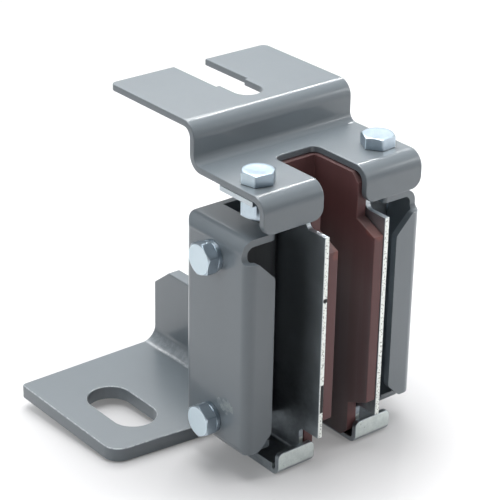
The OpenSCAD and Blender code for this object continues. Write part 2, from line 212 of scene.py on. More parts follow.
def streaksGroup():
    group, given, mask = newGroup("streaks", "Mask", ["Vector", "Stretch"], ["Scale", "Contrast"])
    drawn = vectorStep(group, "MULTIPLY", given["Vector"], given["Stretch"])
    lines = noise(group, drawn, given["Scale"], streakShape["detail"], streakShape["roughness"])
    group.links.new(swing(group, lines, given["Contrast"]), mask)
    return group


spotShape = {
    "detail": 3.0,
    "rim": (1.05, 0.75),   # clear outside, full inside, of the spot's size
}


def spotGroup():
    group, given, mask = newGroup("spot", "Mask", ["Vector", "Centre", "Size"], ["Rag", "Grain"])
    offset = vectorStep(group, "SUBTRACT", given["Vector"], given["Centre"])
    scaled = vectorStep(group, "DIVIDE", offset, given["Size"])
    reach = vectorStep(group, "LENGTH", scaled, output="Value")
    grain = noise(group, given["Vector"], given["Grain"], spotShape["detail"])
    ragged = times(group, combine(group, "SUBTRACT", grain, noiseMiddle), given["Rag"])
    group.links.new(remap(group, combine(group, "ADD", reach, ragged), *spotShape["rim"]), mask)
    return group


def facingGroup():
    group, given, mask = newGroup("facing", "Mask", ["Direction"], ["From", "To"])
    normal = addNode(group, "ShaderNodeNewGeometry").outputs["Normal"]
    agreement = vectorStep(group, "DOT_PRODUCT", normal, given["Direction"], "Value")
    group.links.new(remap(group, agreement, given["From"], given["To"]), mask)
    return group


clouding = cloudingGroup()
orangePeel = orangePeelGroup()
edgeWearAndHighlight = edgeWearAndHighlightGroup()
specks = specksGroup()
streaks = streaksGroup()
spot = spotGroup()
facing = facingGroup()
print("effect groups made")


# finishes

def newFinish(name, values=None):
    material = bpy.data.materials.new(name)
    material.use_nodes = True
    tree = material.node_tree
    tree.nodes.clear()
    surface = addNode(tree, "ShaderNodeBsdfPrincipled", values)
    tree.links.new(surface.outputs[0], tree.nodes.new("ShaderNodeOutputMaterial").inputs["Surface"])
    where = tree.nodes.new("ShaderNodeTexCoord").outputs["Object"]
    return material, tree, surface, where


# lighter edges: wear, and a painted highlight along the rounded edges
def wearAndHighlightEdges(tree, where, look, colour):
    wearAndHighlight = place(tree, edgeWearAndHighlight, look["wearAndHighlight"], where)
    return blendColour(tree, times(tree, wearAndHighlight, look["wearAndHighlightShare"]), colour, look["wearAndHighlightColour"])


def speckle(tree, where, look, colour):
    dots = place(tree, specks, look["specks"], where)
    return blendColour(tree, times(tree, dots, look["speckShare"]), colour, look["speck"])


def roughen(tree, surface, height, bump):
    made = addNode(tree, "ShaderNodeBump", {"Height": height, **bump})
    tree.links.new(made.outputs[0], surface.inputs["Normal"])
    tree.links.new(made.outputs[0], surface.inputs["Coat Normal"])


paintLook = {
    "light": (0.165, 0.191, 0.210),
    "dark": (0.151, 0.176, 0.194),
    "cloud": {"Scale": 32.0, "Contrast": 0.5},
    # lighter edges: wear, and a painted highlight
    "wearAndHighlightColour": (0.36, 0.39, 0.41),
    "wearAndHighlight": {"Radius": 0.5 * mm, "Breakup": 700.0},
    "wearAndHighlightShare": 0.45,
    "upperEdgeHighlight": (0.46, 0.49, 0.51),    # painted highlight along the base's upper edges
    "upperEdgeHighlightShares": (0.25, 0.9),
    "tilted": {"Direction": upward, "From": 0.30, "To": 0.50},
    "level": {"Direction": upward, "From": 0.96, "To": 0.995},
    "baseTop": 6.5 * mm,
    "topFade": (0.4 * mm, 0.1 * mm),   # heights above the base's top
    "topShares": (0.3, 1.0),
    "baseBend": 12.0 * mm,
    "bendFade": 1.0 * mm,
    "dots": {"Scale": 380.0, "Contrast": 0.16},
    # painted reflection of the lower left side bolt in the wing's glossy side
    "boltReflection": (0.33, 0.365, 0.36),
    "boltReflectionShares": (0.25, 0.85),
    "boltReflectionSpot": {
        "Centre": (-46.75 * mm, -14.3 * mm, 34.3 * mm),
        "Size": (2.0 * mm, 5.0 * mm, 3.0 * mm),
        "Rag": 2.6,
        "Grain": 520.0,
    },
    "speck": (0.40, 0.42, 0.44),
    "specks": {"Scale": 150.0, "Size": 0.04, "Share": 0.08},
    "speckShare": 0.35,
    "smear": {"Scale": 60.0, "Contrast": 0.5},
    "gloss": (0.285, 0.34),
    "surface": {"IOR": 1.5, "Coat Weight": 0.4, "Coat Roughness": 0.07},
    "peel": {"Scale": 620.0, "Grit": 0.25},
    "bump": {"Strength": 0.5, "Distance": 0.011 * mm},
}


def greyPaint():
    look = paintLook
    material, tree, surface, where = newFinish("grey paint", look["surface"])
    cloud = place(tree, clouding, look["cloud"], where)
    colour = blendColour(tree, cloud, look["dark"], look["light"])
    colour = wearAndHighlightEdges(tree, where, look, colour)
    # painted highlight along the base's upper edges: the tilted faces just above its top
    height = axesOf(tree, where)["Z"]
    fadeFrom, fadeTo = look["topFade"]
    low = remap(tree, height, look["baseTop"] + fadeFrom, look["baseTop"] + fadeTo, *look["topShares"])
    low = times(tree, low, remap(tree, height, look["baseBend"] + look["bendFade"], look["baseBend"]))
    tilted = place(tree, facing, look["tilted"])
    level = place(tree, facing, look["level"])
    rim = times(tree, combine(tree, "SUBTRACT", tilted, level, clamp=True), low)
    dots = place(tree, clouding, look["dots"], where)
    rim = times(tree, rim, spread(tree, dots, *look["upperEdgeHighlightShares"]))
    colour = blendColour(tree, rim, colour, look["upperEdgeHighlight"])
    # painted reflection of the lower left side bolt in the wing's glossy side
    boltReflection = place(tree, spot, look["boltReflectionSpot"], where)
    boltReflection = times(tree, boltReflection, spread(tree, dots, *look["boltReflectionShares"]))
    colour = blendColour(tree, boltReflection, colour, look["boltReflection"])
    colour = speckle(tree, where, look, colour)
    tree.links.new(colour, surface.inputs["Base Color"])
    smear = place(tree, clouding, look["smear"], where)
    tree.links.new(spread(tree, smear, *look["gloss"]), surface.inputs["Roughness"])
    peel = place(tree, orangePeel, look["peel"], where)
    roughen(tree, surface, peel, look["bump"])
    return material


weldLook = {
    "cloud": {"Scale": 120.0, "Contrast": 0.2},
    # lighter edges: wear, and a painted highlight
    "wearAndHighlightColour": paintLook["wearAndHighlightColour"],
    "wearAndHighlight": {"Radius": 0.6 * mm, "Breakup": 420.0},
    "wearAndHighlightShare": 0.4,
    "gloss": (0.3, 0.45),
    "surface": {"Coat Weight": 0.3, "Coat Roughness": 0.15},
    "lumps": {"Scale": 640.0, "Grit": 0.5},
    "bump": {"Strength": 0.6, "Distance": 0.12 * mm},
}


def weldPaint():
    look = weldLook
    material, tree, surface, where = newFinish("painted weld", look["surface"])
    cloud = place(tree, clouding, look["cloud"], where)
    colour = blendColour(tree, cloud, paintLook["dark"], paintLook["light"])
    colour = wearAndHighlightEdges(tree, where, look, colour)
    tree.links.new(colour, surface.inputs["Base Color"])
    tree.links.new(spread(tree, cloud, *look["gloss"]), surface.inputs["Roughness"])
    lumps = place(tree, orangePeel, look["lumps"], where)
    roughen(tree, surface, lumps, look["bump"])
    return material


zincLook = {
    "bright": (0.51, 0.56, 0.59),
    "dull": (0.45, 0.495, 0.525),
    "cloud": {"Scale": 45.0, "Contrast": 0.25},
    "film": (0.27, 0.30, 0.325),   # dirty film low on the sheets
    "filmHeights": (62.0 * mm, 26.0 * mm),
    "filmShares": (0.45, 0.95),
    "blotch": {"Scale": 130.0, "Contrast": 0.2},
    "feetTo": 14.0 * mm,       # height of the smooth feet
    "edgesFrom": -36.0 * mm,   # y of the sheared front edges
    "fade": 1.0 * mm,
    "ahead": {"Direction": frontward, "From": 0.90, "To": 0.99},
    "foot": (0.76, 0.815, 0.795),
    "footStain": (0.50, 0.555, 0.55),
    "mottle": {"Scale": 230.0, "Contrast": 0.16},
    "mottleShare": 0.45,
    "stains": {"Scale": 420.0, "Size": 0.22, "Share": 0.22},
    "rawEdge": (0.78, 0.805, 0.77),
    "pit": (0.11, 0.11, 0.10),
    "pits": {"Scale": 1500.0, "Size": 0.5, "Share": 0.55},
    "pitShare": 0.85,
    "pitDepth": 2.0,
    "scuff": (0.012, 0.013, 0.014),
    "scuffMiddle": (-15.35 * mm, 38.2 * mm),   # x and z
    "scuffHalf": (1.35 * mm, 6.7 * mm),
    "scuffRim": 0.3 * mm,
    "glints": {"Scale": 700.0, "Size": 0.3, "Share": 0.12},
    "nick": {
        "Centre": (-15.9 * mm, -38.6 * mm, 83.8 * mm),
        "Size": (1.4 * mm, 1.5 * mm, 1.1 * mm),
        "Rag": 0.7,
        "Grain": 900.0,
    },
    "metal": (1.0, 0.2),       # clean, and under the scuff
    "smear": {"Scale": 60.0, "Contrast": 0.25},
    "gloss": (0.36, 0.44),
    "edgeRough": 0.15,         # added on the sheared edges
    "rolled": {"Stretch": (1.0, 1.0, 0.05), "Scale": 1400.0, "Contrast": 0.25},
    "rolledShare": 0.3,
    "grain": {"Scale": 700.0, "Grit": 0.4},
    "bump": {"Strength": 0.4, "Distance": 0.003 * mm},
}


def scuffMask(tree, where, axes, fore):
    # the black scuff and the nick on one front edge
    look = zincLook
    scuff = fore
    for axis, middle, half in zip("XZ", look["scuffMiddle"], look["scuffHalf"]):
        away = combine(tree, "ABSOLUTE", combine(tree, "SUBTRACT", axes[axis], middle))
        scuff = times(tree, scuff, remap(tree, away, half, half - look["scuffRim"]))
    glints = place(tree, specks, look["glints"], where)
    scuff = times(tree, scuff, combine(tree, "SUBTRACT", 1.0, glints))
    nick = place(tree, spot, look["nick"], where)
    return combine(tree, "MAXIMUM", scuff, nick)


def zincPlate():
    look = zincLook
    material, tree, surface, where = newFinish("zinc plate")
    axes = axesOf(tree, where)
    cloud = place(tree, clouding, look["cloud"], where)
    colour = blendColour(tree, cloud, look["dull"], look["bright"])
    blotch = place(tree, clouding, look["blotch"], where)
    film = remap(tree, axes["Z"], *look["filmHeights"])
    film = times(tree, film, spread(tree, blotch, *look["filmShares"]))
    colour = blendColour(tree, film, colour, look["film"])
    # the feet and the sheared edges, seen from the front
    tall = remap(tree, axes["Z"], look["feetTo"], look["feetTo"] + look["fade"])
    fore = remap(tree, axes["Y"], look["edgesFrom"] + look["fade"], look["edgesFrom"])
    ahead = place(tree, facing, look["ahead"])
    edge = times(tree, ahead, combine(tree, "MAXIMUM", fore, combine(tree, "SUBTRACT", 1.0, tall)))
    mottle = place(tree, clouding, look["mottle"], where)
    stains = place(tree, specks, look["stains"], where)
    worn = combine(tree, "MAXIMUM", times(tree, mottle, look["mottleShare"]), stains)
    front = blendColour(tree, worn, look["foot"], look["footStain"])
    front = blendColour(tree, tall, front, look["rawEdge"])
    colour = blendColour(tree, edge, colour, front)
    pits = place(tree, specks, look["pits"], where)
    broken = times(tree, edge, times(tree, pits, tall))
    colour = blendColour(tree, times(tree, broken, look["pitShare"]), colour, look["pit"])
    black = times(tree, edge, scuffMask(tree, where, axes, fore))
    colour = blendColour(tree, black, colour, look["scuff"])
    tree.links.new(colour, surface.inputs["Base Color"])
    tree.links.new(spread(tree, black, *look["metal"]), surface.inputs["Metallic"])
    smear = place(tree, clouding, look["smear"], where)
    gloss = spread(tree, smear, *look["gloss"])
    gloss = combine(tree, "ADD", gloss, times(tree, edge, look["edgeRough"]))
    tree.links.new(gloss, surface.inputs["Roughness"])
    rolled = place(tree, streaks, look["rolled"], where)
    grain = place(tree, orangePeel, look["grain"], where)
    height = combine(tree, "ADD", times(tree, rolled, look["rolledShare"]), grain)
    height = combine(tree, "SUBTRACT", height, times(tree, broken, look["pitDepth"]))
    roughen(tree, surface, height, look["bump"])
    return material


fastenerLook = {
    "bright": (0.49, 0.565, 0.63),
    "dull": (0.41, 0.485, 0.55),
    "cloud": {"Scale": 190.0, "Contrast": 0.2},
    # lighter edges: wear, and a painted highlight
    "wearAndHighlightColour": (0.49, 0.565, 0.63),
    "wearAndHighlight": {"Radius": 0.5 * mm, "Breakup": 600.0},
    "wearAndHighlightShare": 0.5,
    "speck": (0.22, 0.24, 0.26),
    "specks": {"Scale": 520.0, "Size": 0.2, "Share": 0.1},
    "speckShare": 0.3,
    "dullFlats": (0.24, 0.295, 0.345),   # one top bolt is duller round its sides
    "dullShare": 0.8,
    "dullSpot": {
        "Centre": (-31.8 * mm, -13.8 * mm, 134.0 * mm),
        "Size": (10.0 * mm, 10.0 * mm, 6.0 * mm),
        "Rag": 0.3,
        "Grain": 400.0,
    },
    "squarely": {"From": 0.94, "To": 0.99},
    "milky": (0.80, 0.93, 1.0),          # zinc skin on the side bolts' faces
    "shadedTop": (0.37, 0.455, 0.53),        # painted shade on the faces that look up
    "shadedTopGrain": {"Scale": 520.0, "Contrast": 0.15},
    "shadedTopShares": (0.6, 1.0),
    "metal": (1.0, 0.15),                # clean, and under the milky skin
    "smear": {"Scale": 320.0, "Contrast": 0.2},
    "gloss": (0.285, 0.36),
    "dents": {"Scale": 420.0, "Grit": 0.35},
    "bump": {"Strength": 0.4, "Distance": 0.010 * mm},
}


def fastenerZinc():
    look = fastenerLook
    material, tree, surface, where = newFinish("fastener zinc")
    cloud = place(tree, clouding, look["cloud"], where)
    colour = blendColour(tree, cloud, look["dull"], look["bright"])
    colour = wearAndHighlightEdges(tree, where, look, colour)
    colour = speckle(tree, where, look, colour)
    duller = place(tree, spot, look["dullSpot"], where)
    colour = blendColour(tree, times(tree, duller, look["dullShare"]), colour, look["dullFlats"])
    toLeft = place(tree, facing, {"Direction": leftward, **look["squarely"]})
    toRight = place(tree, facing, {"Direction": rightward, **look["squarely"]})
    milky = combine(tree, "MAXIMUM", toLeft, toRight)
    colour = blendColour(tree, milky, colour, look["milky"])
    # painted shade on the faces that look up
    upper = place(tree, facing, {"Direction": upward, **look["squarely"]})
    grain = place(tree, clouding, look["shadedTopGrain"], where)
    upper = times(tree, upper, spread(tree, grain, *look["shadedTopShares"]))
    colour = blendColour(tree, upper, colour, look["shadedTop"])
    tree.links.new(colour, surface.inputs["Base Color"])
    tree.links.new(spread(tree, milky, *look["metal"]), surface.inputs["Metallic"])
    smear = place(tree, clouding, look["smear"], where)
    tree.links.new(spread(tree, smear, *look["gloss"]), surface.inputs["Roughness"])
    dents = place(tree, orangePeel, look["dents"], where)
    roughen(tree, surface, dents, look["bump"])
    return material


linerLook = {
    "brown": (0.160, 0.076, 0.076),
    "deep": (0.136, 0.064, 0.064),
    "drawn": {"Stretch": (1.0, 1.0, 0.03), "Scale": 260.0, "Contrast": 0.2},
    "cloud": {"Scale": 55.0, "Contrast": 0.2},
    "toneShares": (0.5, 0.5),   # of the drawn streaks and the clouds
    # lighter edges: wear, and a painted highlight
    "wearAndHighlightColour": (0.26, 0.095, 0.080),
    "wearAndHighlight": {"Radius": 0.9 * mm, "Breakup": 220.0},
    "wearAndHighlightShare": 0.6,
    # painted highlights on the tops of the two bevels
    "highlightCentres": ((-10.5 * mm, -35.0 * mm, 102.5 * mm), (12.4 * mm, -35.5 * mm, 105.5 * mm)),
    "highlightSpot": {"Size": (3.2 * mm, 5.0 * mm, 3.6 * mm), "Rag": 0.9, "Grain": 260.0},
    "slotHalf": 9.75 * mm,
    "slotFade": 0.15 * mm,
    "wearAndReflectionFront": (0.205, 0.152, 0.155),
    "wearAndReflectionBack": (0.188, 0.178, 0.178),
    "wearAndReflectionInward": (-36.0 * mm, -8.0 * mm),    # y of the front, and of the back
    "wearAndReflectionHeights": (112.0 * mm, 72.0 * mm),   # clear at the mouth, full below
    "wearAndReflectionShares": (0.75, 1.0),
    "topShade": (0.080, 0.058, 0.057),   # painted shade on the faces that look up
    "facingUp": {"Direction": upward, "From": 0.35, "To": 0.85},
    "topShadeShares": (0.45, 0.65),
    "speck": (0.24, 0.15, 0.14),
    "specks": {"Scale": 330.0, "Size": 0.1, "Share": 0.1},
    "speckShare": 0.3,
    "gloss": (0.40, 0.52),
    "surface": {"Specular IOR Level": 0.28},
    "skin": {"Scale": 900.0, "Grit": 0.5},
    "drawnDepth": 0.6,
    "bump": {"Strength": 0.4, "Distance": 0.02 * mm},
}


def linerPolymer():
    look = linerLook
    material, tree, surface, where = newFinish("liner polymer", look["surface"])
    drawn = place(tree, streaks, look["drawn"], where)
    cloud = place(tree, clouding, look["cloud"], where)
    drawnShare, cloudShare = look["toneShares"]
    tone = combine(tree, "ADD", times(tree, drawn, drawnShare), times(tree, cloud, cloudShare))
    colour = blendColour(tree, tone, look["deep"], look["brown"])
    wearAndHighlight = place(tree, edgeWearAndHighlight, look["wearAndHighlight"], where)
    # painted highlights on the tops of the two bevels, added to the edges' wear and highlight
    for centre in look["highlightCentres"]:
        wornAndLit = place(tree, spot, {"Centre": centre, **look["highlightSpot"]}, where)
        wearAndHighlight = combine(tree, "MAXIMUM", wearAndHighlight, wornAndLit)
    colour = blendColour(tree, times(tree, wearAndHighlight, look["wearAndHighlightShare"]), colour, look["wearAndHighlightColour"])
    # the faces that slide on the rail are greyed, most of all deep inside: rail wear, and a painted
    # reflection
    axes = axesOf(tree, where)
    across = combine(tree, "ABSOLUTE", axes["X"])
    sliding = remap(tree, across, look["slotHalf"] + look["slotFade"], look["slotHalf"])
    inward = remap(tree, axes["Y"], *look["wearAndReflectionInward"])
    worn = blendColour(tree, inward, look["wearAndReflectionFront"], look["wearAndReflectionBack"])
    greyed = times(tree, sliding, spread(tree, drawn, *look["wearAndReflectionShares"]))
    greyed = times(tree, greyed, remap(tree, axes["Z"], *look["wearAndReflectionHeights"]))
    colour = blendColour(tree, greyed, colour, worn)
    # painted shade on the faces that look up
    facingUp = place(tree, facing, look["facingUp"])
    facingUp = times(tree, facingUp, spread(tree, cloud, *look["topShadeShares"]))
    colour = blendColour(tree, facingUp, colour, look["topShade"])
    colour = speckle(tree, where, look, colour)
    tree.links.new(colour, surface.inputs["Base Color"])
    tree.links.new(spread(tree, tone, *look["gloss"]), surface.inputs["Roughness"])
    skin = place(tree, orangePeel, look["skin"], where)
    height = combine(tree, "ADD", times(tree, drawn, look["drawnDepth"]), skin)
    roughen(tree, surface, height, look["bump"])
    return material


rubberLook = {
    "black": (0.022, 0.024, 0.027),
    "grey": (0.036, 0.038, 0.041),
    "cloud": {"Scale": 90.0, "Contrast": 0.2},
    "dust": (0.115, 0.120, 0.124),
    "dustShares": (0.35, 0.9),
    "facingUp": {"Direction": upward, "From": 0.55, "To": 0.95},
    "film": {"Scale": 160.0, "Contrast": 0.22},
    "recessLight": (0.145, 0.158, 0.170),   # painted light on the right block, in the wing's recess
    "recessLightTop": (0.27, 0.288, 0.305),
    "recessLightShares": (0.8, 1.0),
    "recessLightAcross": (18.0 * mm, 30.0 * mm),
    "recessLightHeights": (60.0 * mm, 106.0 * mm),
    "gloss": (0.48, 0.66),
    "skin": {"Scale": 1100.0, "Grit": 0.6},
    "bump": {"Strength": 0.5, "Distance": 0.03 * mm},
}


def rubberBlack():
    look = rubberLook
    material, tree, surface, where = newFinish("rubber")
    cloud = place(tree, clouding, look["cloud"], where)
    colour = blendColour(tree, cloud, look["black"], look["grey"])
    facingUp = place(tree, facing, look["facingUp"])
    film = place(tree, clouding, look["film"], where)
    dusty = times(tree, facingUp, spread(tree, film, *look["dustShares"]))
    colour = blendColour(tree, dusty, colour, look["dust"])
    axes = axesOf(tree, where)
    # painted light on the right block, lighter still towards the top
    recessLit = remap(tree, axes["X"], *look["recessLightAcross"])
    recessLit = times(tree, recessLit, spread(tree, film, *look["recessLightShares"]))
    higher = remap(tree, axes["Z"], *look["recessLightHeights"])
    recessLight = blendColour(tree, higher, look["recessLight"], look["recessLightTop"])
    colour = blendColour(tree, recessLit, colour, recessLight)
    tree.links.new(colour, surface.inputs["Base Color"])
    tree.links.new(spread(tree, cloud, *look["gloss"]), surface.inputs["Roughness"])
    skin = place(tree, orangePeel, look["skin"], where)
    roughen(tree, surface, skin, look["bump"])
    return material


finishes = {
    "grey_paint": greyPaint(),
    "weld": weldPaint(),
    "zinc": zincPlate(),
    "fastener_zinc": fastenerZinc(),
    "liner_polymer": linerPolymer(),
    "rubber": rubberBlack(),
}
print("finishes made:", len(finishes))


# CAD nodes: rounded edges by modifiers, and the finish of each

nodeEdges = {  # node: slot, width of the rounded edge
    "top_bracket": ("grey_paint", 0.45 * mm),
    "body": ("grey_paint", 0.55 * mm),
    "base_bracket": ("grey_paint", 1.2 * mm),
    "holder": ("zinc", 0.3 * mm),
    "bottom_plate": ("zinc", 0.3 * mm),
    "liner": ("liner_polymer", 0.4 * mm),
    "cushion_inserts": ("fastener_zinc", 0.2 * mm),
    "side_spring_washers": ("fastener_zinc", 0.2 * mm),
    "top_spring_washers": ("fastener_zinc", 0.2 * mm),
}
edgeShape = {
    "join": 0.002 * mm,
    "flatAngle": 0.6,      # faces that turn less than this, in degrees, are one
    "roundAngle": 28.0,    # edges that turn more than this are rounded
    "segments": 3,
    "shadeWeight": 60,
}


def evenShading(piece, keepSharp):
    shade = piece.modifiers.new("even shading", "WEIGHTED_NORMAL")
    shade.weight = edgeShape["shadeWeight"]
    shade.keep_sharp = keepSharp


def roundEdges(piece, width):
    weld = piece.modifiers.new("join corners", "WELD")
    weld.merge_threshold = edgeShape["join"]
    flatten = piece.modifiers.new("whole faces", "DECIMATE")
    flatten.decimate_type = "DISSOLVE"
    flatten.angle_limit = math.radians(edgeShape["flatAngle"])
    edge = piece.modifiers.new("round edges", "BEVEL")
    edge.limit_method = "ANGLE"
    edge.angle_limit = math.radians(edgeShape["roundAngle"])
    edge.width = width
    edge.segments = edgeShape["segments"]
    edge.loop_slide = False
    evenShading(piece, False)


for name, (slotName, width) in nodeEdges.items():
    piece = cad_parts[name]
    roundEdges(piece, width)
    for materialSlot in piece.material_slots:
        materialSlot.material = finishes[slotName]
print("CAD nodes finished:", len(nodeEdges))


# new pieces

def finishPiece(name, mesh, slotName, sharpAngle, node):
    bmesh.ops.recalc_face_normals(mesh, faces=mesh.faces)
    data = bpy.data.meshes.new(name)
    mesh.to_mesh(data)
    mesh.free()
    data.polygons.foreach_set("use_smooth", [True] * len(data.polygons))
    data.set_sharp_from_angle(angle=math.radians(sharpAngle))
    data.materials.append(finishes[slotName])
    piece = bpy.data.objects.new(name, data)
    scene.collection.objects.link(piece)
    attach(piece, "root")
    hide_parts(node)
    print("piece made:", name, len(data.polygons), "faces")
    return piece


def joinRings(mesh, rings):
    for near, far in zip(rings, rings[1:]):
        count = max(len(near), len(far))
        for i in range(count):
            j = (i + 1) % count
            if len(near) == 1:
                mesh.faces.new((near[0], far[i], far[j]))
            elif len(far) == 1:
                mesh.faces.new((near[i], far[0], near[j]))
            else:
                mesh.faces.new((near[i], far[i], far[j], near[j]))


hexShape = {
    "segments": 96,
    "cornerPower": 150.0,  # higher gives sharper corners
    "faceShare": 0.985,    # the flat round face, of half the width across flats
    "turnedAngle": 30.0,   # slope of the turned-off corners
    "edge": 0.05 * mm,
    "faceRim": (0.8, 0.45),    # how far the face's rim reaches out and falls, of the edge
    "cornerRim": (0.25, 0.2),
    "seatShare": 0.95,     # the round seat, of half the width
    "seatLift": 0.2 * mm,
    "seatRim": 0.2,
    "sharpAngle": 50.0,
}
ringAngles = [2 * math.pi * i / hexShape["segments"] for i in range(hexShape["segments"])]


def roundRing(radius, z):
    return [(radius * math.cos(angle), radius * math.sin(angle), z) for angle in ringAngles]


def hexReach(angle, half):
    power = hexShape["cornerPower"]
    total = 0.0
    for k in range(6):
        facingShare = math.cos(angle - math.radians(30 + 60 * k))
        total += max(0.0, facingShare) ** power
    return half / total ** (1 / power)


def hexRings(half, height):
    # outside of a head or a nut: over its turned-off corners and down to its seat
    slope = math.tan(math.radians(hexShape["turnedAngle"]))
    edge = hexShape["edge"]
    face = half * hexShape["faceShare"]
    seat = half * hexShape["seatShare"]
    lift = hexShape["seatLift"]
    reaches = [hexReach(angle, half) for angle in ringAngles]
    sideTops = [height - (reach - face) * slope for reach in reaches]
    level = [lift] * len(ringAngles)

    def hexRing(inset, heights, rise):
        points = []
        for angle, reach, z in zip(ringAngles, reaches, heights):
            radius = reach - inset
            points.append((radius * math.cos(angle), radius * math.sin(angle), z + rise))
        return points

    rimOut, rimFall = hexShape["faceRim"]
    cornerIn, cornerFall = hexShape["cornerRim"]
    return [
        roundRing(face + edge * rimOut, height - edge * rimFall),
        hexRing(edge, sideTops, edge * slope),
        hexRing(edge * cornerIn, sideTops, -edge * cornerFall),
        hexRing(0.0, sideTops, -edge),
        hexRing(0.0, level, edge),
        hexRing(edge, level, 0.0),
        roundRing(seat, lift),
        roundRing(seat - edge * hexShape["seatRim"], 0.0),
    ]


boltShape = {
    "headHeight": 5.3 * mm,
    "dishDepth": 0.12 * mm,   # the head's face is a little hollow
    "dish": ((0.45, 0.10 * mm), (0.8, 0.03 * mm)),   # share of the face, depth there
    "shankRadius": 4.0 * mm,
    "play": 0.03 * mm,
    "pitch": 1.25 * mm,
    "threadDepth": 0.68 * mm,
    "crest": 0.12,            # shares of half a pitch
    "flank": 0.7,
    "ringsPerTurn": 8,
    "taper": 0.9 * mm,
    "taperSlope": 0.9,
    "endDip": 0.05 * mm,
    "sleeveDepth": 11.0 * mm,
    "topTurns": (-16.0, 4.0),
    "sideTurns": (0.0, -13.0, -14.0, 3.0),
}


def headRings(half):
    # from the middle of the head's face to its seat
    height = boltShape["headHeight"]
    face = half * hexShape["faceShare"]
    rings = [[(0.0, 0.0, height - boltShape["dishDepth"])]]
    for share, dip in boltShape["dish"]:
        rings.append(roundRing(face * share, height - dip))
    rings.append(roundRing(face - hexShape["edge"], height))
    return rings + hexRings(half, height)


def threadRadius(z, angle, full):
    phase = (z / boltShape["pitch"] - angle / (2 * math.pi)) % 1.0
    rise = abs(phase - 0.5) * 2
    share = min(1.0, max(0.0, (rise - boltShape["crest"]) / boltShape["flank"]))
    return full - boltShape["threadDepth"] * share


def shankRings(length):
    levels = int(length / (boltShape["pitch"] / boltShape["ringsPerTurn"]))
    full = boltShape["shankRadius"] - boltShape["play"]
    rings = []
    for level in range(levels + 1):
        z = -length * level / levels
        endLeft = length + z
        limit = full - max(0.0, boltShape["taper"] - endLeft) * boltShape["taperSlope"]
        points = []
        for angle in ringAngles:
            radius = min(threadRadius(z, angle, full), limit)
            points.append((radius * math.cos(angle), radius * math.sin(angle), z))
        rings.append(points)
    rings.append([(0.0, 0.0, -length + boltShape["endDip"])])
    return rings


def addRings(mesh, seat, rings):
    return [[mesh.verts.new(seat @ Vector(point)) for point in ring] for ring in rings]


def addBolt(mesh, seat, half, length):
    joinRings(mesh, addRings(mesh, seat, headRings(half) + shankRings(length)))


nutShape = {
    "play": 0.04 * mm,
    "sink": 0.5 * mm,      # of the bore's mouths
    "faceShare": 0.85,
    "turns": (14.0, -9.0),
}


def addNut(mesh, seat, half, height):
    # outside as a bolt's head, inside a bore with a sunk mouth at each end
    bore = boltShape["shankRadius"] + nutShape["play"]
    sink = nutShape["sink"]
    inside = [(bore + sink, 0.0), (bore, sink), (bore, height - sink), (bore + sink, height)]
    inside.append((half * nutShape["faceShare"], height))
    rings = hexRings(half, height) + [roundRing(radius, z) for radius, z in inside]
    made = addRings(mesh, seat, rings)
    joinRings(mesh, made + made[:1])


def turned(seat, turn):
    return seat @ Matrix.Rotation(math.radians(turn), 4, "Z")


def finishFasteners(name, mesh, node):
    piece = finishPiece(name, mesh, "fastener_zinc", hexShape["sharpAngle"], node)
    evenShading(piece, True)


def topFasteners():
    low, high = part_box("top_bolts")
    half = (high.y - low.y) / 2
    middle = (high.y + low.y) / 2
    across = high.x - half * 2 / math.sqrt(3)
    seatZ = high.z - boltShape["headHeight"]
    bolts = bmesh.new()
    for side, turn in zip((-1, 1), boltShape["topTurns"]):
        seat = Matrix.Translation((side * across, middle, seatZ))
        addBolt(bolts, turned(seat, turn), half, seatZ - low.z)
    finishFasteners("top_bolts_threaded", bolts, "top_bolts")
    nutLow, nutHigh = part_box("top_nuts")
    nuts = bmesh.new()
    over = Matrix.Rotation(math.pi, 4, "X")
    for side, turn in zip((-1, 1), nutShape["turns"]):
        seat = Matrix.Translation((side * across, middle, nutHigh.z)) @ over
        addNut(nuts, turned(seat, turn), half, nutHigh.z - nutLow.z)
    finishFasteners("top_nuts_turned", nuts, "top_nuts")


def sideFasteners():
    low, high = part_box("side_bolts")
    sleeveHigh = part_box("cushion_inserts")[1]
    half = (high.y - low.y) / 2
    middle = (high.y + low.y) / 2
    corner = half * 2 / math.sqrt(3)
    seatX = high.x - boltShape["headHeight"]
    length = seatX - sleeveHigh.x + boltShape["sleeveDepth"]
    mesh = bmesh.new()
    turns = iter(boltShape["sideTurns"])
    for side in (-1, 1):
        outward = Matrix.Rotation(side * math.pi / 2, 4, "Y")
        for z in (low.z + corner, high.z - corner):
            seat = Matrix.Translation((side * seatX, middle, z)) @ outward
            addBolt(mesh, turned(seat, next(turns)), half, length)
    finishFasteners("side_bolts_threaded", mesh, "side_bolts")


topFasteners()
sideFasteners()


weldShape = {
    "ripple": 1.7 * mm,
    "rippleHeight": 0.22 * mm,
    "ripplePowers": (1.5, 0.5),   # along the bead, and across it
    "bow": 1.6 * mm,       # how far a ripple's middle runs ahead of its ends
    "hollow": 0.9 * mm,
    "fullness": 0.35 * mm,
    "across": 14,
    "step": 0.2 * mm,
    "wander": ((0.12 * mm, 0.9, 1), (0.08 * mm, 2.3, 2)),   # size, turn per mm, shift
    "endParts": 6,         # the bead is full from a sixth of its length on
    "endShare": 0.55,      # of the leg, at the very ends
    "off": 0.02 * mm,      # from the walls
    "topBand": 1.0 * mm,   # where the base's two sides are measured
    "sharpAngle": 60.0,
}


